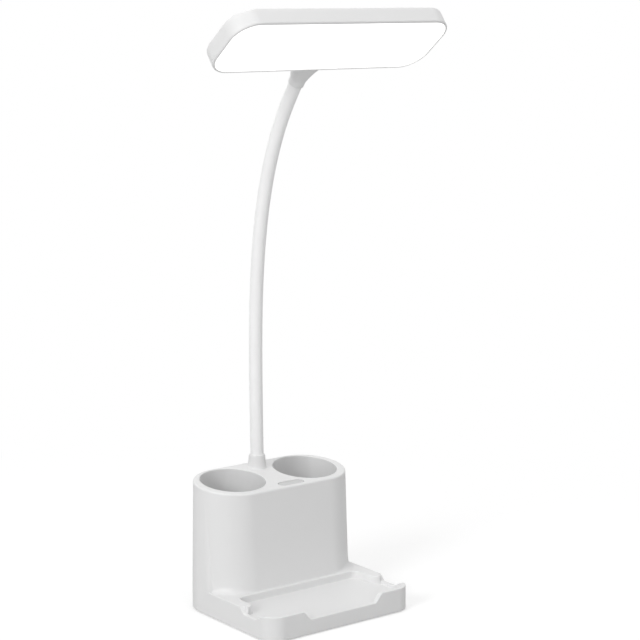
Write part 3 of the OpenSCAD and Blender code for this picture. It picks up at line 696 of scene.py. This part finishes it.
def make_base_block():
    """The block with its tray and gaps, hollow below and open to the column."""
    block = prism("base_block", points_of(base_outline()), shell_foot, rim_top)
    tray = prism("tray", points_of(tray_outline()), floor_height, rim_top + far_past)
    cut(block, tray, *rim_gap_cutters())
    soften_edges(block)
    stem = points_of(oval(foot_len - 2 * wall, foot_r - wall, y=-foot_shift))
    column_way = prism("column_way", stem, rim_top - wall - past, rim_top + past)
    cut(block, *inner_hollow(), column_way, usb_opening())
    smooth(block.data)
    even = block.modifiers.new("even_light", "WEIGHTED_NORMAL")
    even.keep_sharp = True
    dress(block, shell_plastic, "base", ["base_shell"])


# ---- Pen column ----
foot_outline = oval(foot_len, foot_r, y=-foot_shift)
deck_outline = oval(deck_len, deck_r)


def deck_height(x, y):
    return deck_z + y * tan(deck_slope)


def below_deck(drop):
    """The height at this distance straight below the deck, as a function of the place."""
    return lambda x, y: deck_height(x, y) - drop


deck_underside = below_deck(wall / cos(deck_slope))


def flare_radii(passes=3):
    """How far the column's foot may flare at each point: less where the block's edge or the tray is near."""
    edges = [p for p, out in base_outline() + tray_outline()]
    free = []
    for spot, out in foot_outline:
        room = min((spot - p).length for p in edges)
        if abs(spot.x) < tray_half_w - tray_corner_r:
            room = min(room, abs(spot.y + tray_back))
        room = min(room, half_w - abs(spot.x), base_back - spot.y)
        free.append(min(max(room - rim_soft, flare_least), flare_most))
    for _ in range(passes):
        around = zip(free[-1:] + free[:-1], free, free[1:] + free[:1])
        free = [min(here, (before + here + after) / 3) for before, here, after in around]
    return free


def column_wall(i, share, offset=0):
    """A point of the column's wall, at a share of its height from inside the block to the deck's edge."""
    (foot, out), (deck, _) = foot_outline[i], deck_outline[i]
    low = Vector((*foot, rim_top - wall))
    high = on_deck @ Vector((*deck, -deck_soft))
    return low.lerp(high, share) + Vector((*out, 0)) * offset


def share_at(i, z):
    low, high = column_wall(i, 0).z, column_wall(i, 1).z
    return (z - low) / (high - low)


def wall_at(i, z, offset=0):
    """A point of the column's wall at a height."""
    return column_wall(i, share_at(i, z), offset)


def way_to_wall(spot, out, strides=12):
    """How far it is from a point of the plan to the block's side or rear wall, in one direction."""
    way = 0
    for _ in range(strides):
        x, y = spot + out * way
        way += base_back - Vector((max(abs(x) - half_w + base_back, 0), max(y, 0))).length
    return way


def column_rings():
    """The outside of the column up to the deck's flat: a flared foot, or one wall with the block's own."""
    flare = flare_radii()
    ways = [way_to_wall(wall_at(i, rim_top).xy, out) for i, (point, out) in enumerate(foot_outline)]
    flush = [eased(min(max((flush_none - way) / (flush_none - flush_full), 0), 1)) for way in ways]

    def ring(flared, level):
        """Between a flared foot and a level wall, which each give a rise over the rim and a spread."""
        spots = []
        for i, share in enumerate(flush):
            rise, spread = (a * (1 - share) + b * share for a, b in zip(flared(flare[i]), level(ways[i])))
            spots.append(wall_at(i, rim_top + rise, spread))
        return spots

    rings = [ring(lambda reach: (-foot_lap, reach), lambda way: (-rim_soft - flush_lap, way - flush_inset))]
    steps = 9
    for k, (wide, high) in enumerate(rounding(1, steps)):
        climb = k / steps
        rings.append(
            ring(
                lambda reach: (reach * high, reach * wide),
                lambda way: (flush_rise * climb, way * (1 - climb)),
            )
        )
    levels = 12
    starts = [share_at(i, rim_top + flare[i] * (1 - s) + flush_rise * s) for i, s in enumerate(flush)]
    for level in range(1, levels + 1):
        shares = [start + (1 - start) * level / levels for start in starts]
        rings.append([column_wall(i, share) for i, share in enumerate(shares)])
    for drop, inset in rounding(deck_soft, 6)[1:]:
        rings.append(at(deck_outline, -drop, -inset, on_deck))
    rings.append(at(deck_outline, 0, -deck_soft - support, on_deck))
    return rings


def cup_rings(sign):
    """A cup from the deck down: soft lip, straight bore, rounded bottom."""
    mouth = circle(cup_r, sign * cup_x, cup_y, steps=96)
    rings = [at(mouth, deck_height, cup_lip + support)]
    for spread, drop in rounding(cup_lip, 5):
        rings.append(at(mouth, below_deck(drop), spread))
    levels = 8
    low = cup_floor + cup_round
    for level in range(1, levels + 1):
        share = level / levels
        rings.append(at(mouth, lambda x, y: (deck_height(x, y) - cup_lip) * (1 - share) + low * share))
    for rise, inset in rounding(cup_round, 5)[1:]:
        rings.append(at(mouth, cup_floor + rise, -inset))
    return rings


def boss_rings():
    """The neck's boss: flared foot on the deck, cone, soft top, seat for the sleeve, fitting's hole, stem."""
    y = neck_foot.y
    base_z = deck_height(0, y)
    cone_h = boss_top - base_z + wall
    cone = circle(boss_foot_r - (boss_foot_r - boss_top_r) * wall / cone_h, 0, y)
    rings = [at(cone, deck_height, boss_flare + support)]
    for spread, rise in rounding(boss_flare, 6):
        rings.append(at(cone, below_deck(-rise), spread - boss_draw * rise / boss_flare))
    crown = circle(boss_top_r, 0, y)
    cone_foot, cone_top = rings[-1], at(crown, boss_top - boss_soft)
    for share in (0.25, 0.5, 0.75, 1):
        rings.append([low.lerp(high, share) for low, high in zip(cone_foot, cone_top)])
    for drop, inset in rounding(boss_soft, 4)[1:]:
        rings.append(at(crown, boss_top - drop, -inset))
    bore = neck_r + neck_gap
    seat_z, stem_z = boss_top - boss_seat, base_z - wall - boss_under
    section = (
        (boss_top_r - boss_soft - bore_soft, boss_top),
        (bore + bore_soft, boss_top),
        (bore, boss_top - bore_soft),
        (bore, seat_z),
        (fitting_hole_r, seat_z),
        (fitting_hole_r, stem_z),
        (washer_r, stem_z),
        (washer_r, deck_underside),
    )
    return rings + [at(circle(radius, 0, y), z) for radius, z in section]


def key_slot_rings():
    """The key's slot through the deck, with a soft edge."""
    slot = oval(key_len + 2 * slot_gap, key_w / 2 + slot_gap, key_x, -key_y, steps=20)
    rings = [at(slot, 0, slot_soft + slot_support, on_deck)]
    for spread, drop in rounding(slot_soft, 4):
        rings.append(at(slot, -drop, spread, on_deck))
    rings.append(at(slot, -wall, 0, on_deck))
    return rings


def waist_hollow(front_y, rear_y, z, steps=16):
    """The hollow between the two cups, from the front wall to the rear wall."""
    tube_r = cup_r + cup_wall
    half_angle = acos((cup_x - waist_half) / tube_r)
    right = [(waist_half, front_y)]
    for k in range(steps + 1):
        angle = pi + half_angle * (1 - 2 * k / steps)
        right.append((cup_x + tube_r * cos(angle), cup_y + tube_r * sin(angle)))
    right.append((waist_half, rear_y))
    left = [(-x, y) for x, y in reversed(right)]
    return [Vector((x, y, height_at(z, x, y))) for x, y in right + left]


def make_pen_column():
    """One closed surface: the wall, the deck with cups, boss and slot, and the hollow inside."""
    mesh = bmesh.new()
    outside = skin(mesh, column_rings())
    cups = [skin(mesh, cup_rings(sign)) for sign in (-1, 1)]
    boss = skin(mesh, boss_rings())
    slot = skin(mesh, key_slot_rings())
    fill(mesh, outside[-1], cups[0][0], cups[1][0], boss[0], slot[0])
    for cup in cups:
        mesh.faces.new(cup[-1])
    roof_z = cup_floor - cup_wall
    heights = (rim_top - foot_lap, roof_z)
    inside = skin(mesh, [[wall_at(i, z, -wall) for i in range(len(foot_outline))] for z in heights])
    join(mesh, outside[0], inside[0])
    low_reach = foot_r - wall - waist_ledge
    high_reach = (deck_r - wall) * cos(deck_slope)
    waist_low = waist_hollow(-foot_shift - low_reach, -foot_shift + low_reach, roof_z)
    waist_high = waist_hollow(-high_reach, high_reach, deck_underside)
    waist = skin(mesh, [waist_low, waist_high])
    fill(mesh, inside[-1], waist[0])
    fill(mesh, waist[1], boss[-1], slot[-1])
    dress(make_object("pen_column", mesh), column_plastic, "base", ["base_shell"])


# ---- Dimmer key ----
def make_dimmer_key():
    """A cap with a shallow dish on top, hollow below, with a lip that stays under the deck."""
    cap = oval(key_len, key_w / 2, key_x, -key_y, steps=20)
    lip_top = -wall - key_lip_gap
    lip_low = lip_top - key_lip_t
    section = [(-key_sink - key_top_t, -key_wall), (lip_low, -key_wall)]
    section += [(lip_low, key_lip), (lip_top, key_lip), (lip_top, 0)]
    section += [(-key_sink - drop, -inset) for drop, inset in rounding(key_soft, 5)]
    dish_steps, dish_w = 6, key_w / 2 - key_rim - key_soft
    for k in range(1, dish_steps + 1):
        share = k / dish_steps
        section.append((-key_sink - key_dish * swell(share), -key_soft - dish_w * share))
    mesh = bmesh.new()
    closed_skin(mesh, [at(cap, z, offset, on_deck) for z, offset in section])
    dress(make_object("dimmer_key", mesh), key_painted_shade_plastic, "key", ["key_cap"])


# ---- Neck ----
def bent_path(start, corner, stop, steps=20):
    """Points and directions along a bend that leaves start towards corner and reaches stop from it."""
    path = []
    for k in range(steps + 1):
        t = k / steps
        spot = start.lerp(corner, t).lerp(corner.lerp(stop, t), t)
        path.append((spot, ((corner - start) * (1 - t) + (stop - corner) * t).normalized()))
    return path


def tube(mesh, path, outer, inner, steps=48):
    """A closed hose along a path in the plane of the neck's bend."""
    across = Vector((1, 0, 0))

    def ring(radius, spot, ahead):
        beside = across.cross(ahead)
        turn = [2 * pi * k / steps for k in range(steps)]
        return [spot + radius * (cos(a) * across + sin(a) * beside) for a in turn]

    rings = [ring(outer, *p) for p in path] + [ring(inner, *p) for p in reversed(path)]
    rows = skin(mesh, rings)
    join(mesh, rows[-1], rows[0])


def make_neck_sleeve():
    """One length of sleeve round each bending point, from the middle of one link to that of the next."""
    tip_way = Vector((0, -sin(tip_lean), cos(tip_lean)))
    on_axis = Vector((0, neck_foot.y, boss_top))
    up = Vector((0, 0, 1))
    ends = [a.lerp(b, 0.5) for a, b in zip(bend_points, bend_points[1:])]
    for k, corner in enumerate(bend_points):
        start = ends[k - 1] if k else on_axis - up * sleeve_sunk
        stop = ends[k] if k < LINKS else corner + tip_way * (collar_start + sleeve_sunk)
        path = bent_path(start, corner, stop)
        stands_for = [f"neck_sleeve_{k}" if k else "neck_sleeve_root"]
        if k == 0:
            path.insert(0, (on_axis - up * boss_seat, up))
        if k == LINKS:
            path.append((corner + tip_way * (collar_start + collar_seat), tip_way))
            stands_for.append("neck_sleeve_tip")
        mesh = bmesh.new()
        tube(mesh, path, neck_r, neck_bore_r)
        length = make_object(f"sleeve_length_{k}", mesh)
        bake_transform(length)
        dress(length, sleeve_silicone, None, stands_for)


# ---- Light head ----
def make_collar():
    """From the round neck, widening to a flat oval on the head's rear wall."""
    steps, lengths = 64, 12
    turn = [2 * pi * (k + 0.5) / steps for k in range(steps)]
    end_r = head_t / 2 - head_soft
    end_x = collar_w / 2 - end_r
    bore = neck_r + neck_gap

    def neck_ring(radius, height):
        return [on_tip @ Vector((radius * cos(a), radius * sin(a), height)) for a in turn]

    def wall_ring(depth):
        spots = []
        for a in turn:
            x = (end_x if cos(a) > 0 else -end_x) + end_r * cos(a)
            spots.append(on_head @ Vector((x, head_w / 2 - depth, head_t / 2 + end_r * sin(a))))
        return spots

    def between(low, high, share):
        bulge = Vector(((high.x - low.x) * collar_bulge, collar_bow, 0))
        return low.lerp(high, share) + sin(pi * share) * bulge

    rings = [neck_ring(bore, collar_start + collar_seat), neck_ring(bore, collar_start + bore_soft)]
    rings.append(neck_ring(bore + bore_soft, collar_start))
    for inset, rise in rounding(collar_soft, 4)[1:]:
        rings.append(neck_ring(collar_r - inset, collar_start + rise))
    rings.append(neck_ring(collar_r, (collar_start + collar_bend) / 2))
    neck_end, head_end = neck_ring(collar_r, collar_bend - collar_run), wall_ring(0)
    for k in range(lengths + 1):
        rings.append([between(low, high, k / lengths) for low, high in zip(neck_end, head_end)])
    rings.append(wall_ring(collar_sunk))
    mesh = bmesh.new()
    closed_skin(mesh, rings)
    dress(make_object("neck_collar", mesh), head_plastic, "head", ["head_collar"])


def head_piece(name, section):
    """A piece of the head, from pairs of a height over its underside and an inset from its outline."""
    edge = round_box(head_len, head_w, head_corner_r)
    mesh = bmesh.new()
    closed_skin(mesh, [at(edge, height, -inset, on_head) for height, inset in section])
    return make_object(name, mesh)


def make_head_housing():
    """From the inside of the top, round the rim of the opening, up the outside and over the top."""
    rabbet = panel_sink + panel_t
    section = [(head_t - head_wall, head_wall + head_ceiling_in), (head_t - head_wall, head_wall)]
    section += [(rabbet, head_wall), (rabbet, head_rim), (head_rim_in, head_rim)]
    section += [(height, head_rim - past_edge) for height, past_edge in rounding(head_rim_in, 3)[1:]]
    section += [(height, inset) for inset, height in rounding(head_rim_out, 5)]
    section += [(share * (head_t - head_soft), 0) for share in (0.15, 0.5, 0.85, 1)]
    section += [(head_t - drop, inset) for drop, inset in rounding(head_soft, 7)[1:]]
    section.append((head_t, head_soft + support))
    dress(head_piece("head_shell", section), head_plastic, "head", ["head_housing"])


def make_light_panel():
    """The diffuser: its skirt inside the housing, its edge in the opening and its flat."""
    edge, back = head_rim + panel_gap, panel_sink + panel_t
    skirt, skirt_top = head_wall + panel_skirt_gap, back + panel_skirt_h
    section = [(back, skirt + panel_skirt_t), (skirt_top, skirt + panel_skirt_t)]
    section += [(skirt_top, skirt), (back, skirt), (back, edge)]
    section += [(panel_sink + rise, edge + inset) for rise, inset in rounding(panel_soft, 4)]
    section.append((panel_sink, edge + panel_soft + support))
    dress(head_piece("light_panel", section), panel_light, "head", ["light_diffuser"])


# ---- Feet and cover screws ----
def turned(mesh, profile, x, y, steps=48):
    """A round piece from its profile of radius and height pairs, closed at both ends."""
    closed_skin(mesh, [at(circle(radius, x, y, steps), z) for radius, z in profile])


def places_of(node, radius, slack=1):
    """Where a node's separate round solids stand in the plan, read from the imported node's own corners."""
    groups = []
    for corner in frame["nodes"][node].data.vertices:
        spot = corner.co.xy / MM
        group = next((g for g in groups if (g[0] - spot).length < 2 * radius + slack), None)
        if group:
            group.append(spot)
        else:
            groups.append([spot])
    return [
        [(min(spot[axis] for spot in group) + max(spot[axis] for spot in group)) / 2 for axis in (0, 1)]
        for group in groups
    ]


def make_rubber_feet():
    """Round pads with a shallow dimple below."""
    pad_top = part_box("rubber_feet")[1].z / MM
    profile = [(pad_r - dimple_in, dimple_deep), (pad_r - dimple_in + dimple_slope, pad_lift)]
    profile += [(pad_r - inset, rise) for inset, rise in rounding(pad_soft, 4)]
    profile.append((pad_r, pad_top))
    mesh = bmesh.new()
    for x, y in places_of("rubber_feet", pad_r):
        turned(mesh, profile, x, y)
    dress(make_object("rubber_feet_pads", mesh), foot_rubber, "base", ["rubber_feet"])


def make_cover_screws():
    """The bottom cover's screws: domed heads with a cross recess, seen from below."""
    low, high = (corner.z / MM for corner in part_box("cover_screws"))
    head_top = low + screw_head_h
    profile = [(screw_r - screw_tip_in, high), (screw_r, high - screw_tip_h)]
    profile += [(screw_r, head_top), (screw_head_r, head_top)]
    for rise, inset in rounding(1, 5):
        profile.append((screw_head_r - screw_dome_w * inset, low + screw_dome_h * rise))
    places = places_of("cover_screws", screw_head_r)
    mesh = bmesh.new()
    for x, y in places:
        turned(mesh, profile, x, y, steps=40)
    screws = make_object("cover_screws_turned", mesh, screw_angle)
    recesses = []
    for x, y in places:
        for length, width in ((recess_long, recess_wide), (recess_wide, recess_long)):
            arm = [(x + i * length / 2, y + j * width / 2) for i, j in ((-1, -1), (1, -1), (1, 1), (-1, 1))]
            recesses.append(prism("recess", arm, low - past, low + recess_deep))
    cut(screws, *recesses)
    dress(screws, steel, "base", ["cover_screws"])


# ---- Nodes that keep their shape ----
def dress_inner_nodes():
    board = circuit_board("green_board", (0.01, 0.09, 0.035), (0.05, 0.2, 0.08))
    light_board = circuit_board("white_board", (0.78, 0.78, 0.76), (0.85, 0.85, 0.83))
    chips, wrap, phosphor = chip_package(), shrink_wrap(), led_phosphor()
    pale_lead = lead_skin("pale_lead", (0.7, 0.7, 0.7), (0.7, 0.7, 0.7))
    cell_lead = lead_skin("cell_lead", (0.5, 0.02, 0.02), (0.02, 0.02, 0.02))
    finishes = {
        "bottom_cover": cover_plastic,
        "control_board": board,
        "key_board": board,
        "led_board": light_board,
        "board_parts": chips,
        "key_switch": chips,
        "switch_plunger": chips,
        "battery_cell": wrap,
        "battery_leads": cell_lead,
        "neck_lead": pale_lead,
        "key_lead": pale_lead,
        "led_chips": phosphor,
    }
    for name, node in frame["nodes"].items():
        finish = finishes.get(name, steel)
        if not node.material_slots:
            node.data.materials.append(finish)
        for holder in node.material_slots:
            holder.material = finish


# ---- Floor, light and camera, with places in metres and angles in degrees ----
floor_half, floor_tone, floor_glow = 2.6, 0.6, 0.45
floor_fade, floor_clear = 0.165, 0.55
sky_level = 0.46
lit_spot = Vector((0, -0.01, 0.18))
lamps = (
    ("window", Vector((-2.4, -0.7, 1.3)), 1.0, 30.5),
    ("ceiling", Vector((0.1, 0.1, 2.6)), 1.6, 20.5),
    ("front_fill", Vector((0.2, -2.6, 1.3)), 1.4, 8),
)
camera_place = Vector((-0.8621, -1.1901, 0.4816))
camera_dip, camera_turn, camera_lens, camera_sensor = 9.88, 37.46, 106.7, 36


def stage_floor():
    """A pale floor that takes the lamp's soft shadow and fades to the room's white away from it."""
    mesh = bmesh.new()
    bmesh.ops.create_grid(mesh, x_segments=8, y_segments=8, size=floor_half / MM)
    floor = make_object("floor", mesh)
    paper = Finish("pale_floor", Roughness=0.9)
    tooth = paper.noise(3, detail=3)
    paper.shade(
        Base_Color=paper.mix(tooth, grey(floor_tone - 0.01), grey(floor_tone + 0.01)),
        Normal=paper.relief(tooth, 0.02),
    )
    plain = Signal(paper, paper.shader.outputs[0])
    glow = paper.node("ShaderNodeEmission", {}, {"Color": grey(1), "Strength": floor_glow})
    lit = paper.node("ShaderNodeAddShader", {}, {0: plain, 1: glow})
    white = paper.node("ShaderNodeEmission", {}, {"Color": grey(1), "Strength": 1})
    away = paper.node("ShaderNodeVectorMath", {"operation": "LENGTH"}, {0: paper.place()}, output=1)
    fade = paper.ramp(away, floor_fade, floor_clear)
    seen = paper.node("ShaderNodeMixShader", {}, {0: fade, 1: lit, 2: white})
    camera = paper.node("ShaderNodeLightPath", output="Is Camera Ray")
    paper.show(paper.node("ShaderNodeMixShader", {}, {0: camera, 1: plain, 2: seen}))
    floor.data.materials.append(paper.material)


def light_the_room():
    """A dim even sky that looks white by itself, and large soft lamps."""
    scene.world = bpy.data.worlds.new("white_room")
    room = Nodes(scene.world)
    sky = room.node("ShaderNodeBackground", {}, {"Color": grey(1), "Strength": sky_level})
    white = room.node("ShaderNodeBackground", {}, {"Color": grey(1), "Strength": 1})
    room.show(room.node("ShaderNodeMixShader", {}, {0: room.bare_rays(), 1: sky, 2: white}))
    for name, place, size, power in lamps:
        data = bpy.data.lights.new(name, "AREA")
        data.shape = "SQUARE"
        data.size = size
        data.energy = power
        lamp = bpy.data.objects.new(name, data)
        scene.collection.objects.link(lamp)
        lamp.location = place
        lamp.rotation_euler = (lit_spot - place).to_track_quat("-Z", "Y").to_euler()


def set_camera():
    """The photograph's viewpoint: from the front left, a little above the desk."""
    data = bpy.data.cameras.new("camera")
    data.lens = camera_lens
    data.sensor_width = camera_sensor
    camera = bpy.data.objects.new("camera", data)
    scene.collection.objects.link(camera)
    camera.location = camera_place
    camera.rotation_euler = (radians(90 - camera_dip), 0, radians(-camera_turn))
    scene.camera = camera


make_base_block()
make_pen_column()
make_dimmer_key()
make_neck_sleeve()
make_collar()
make_head_housing()
make_light_panel()
make_rubber_feet()
make_cover_screws()
dress_inner_nodes()
stage_floor()
light_the_room()
set_camera()
scene.view_settings.view_transform = "Standard"
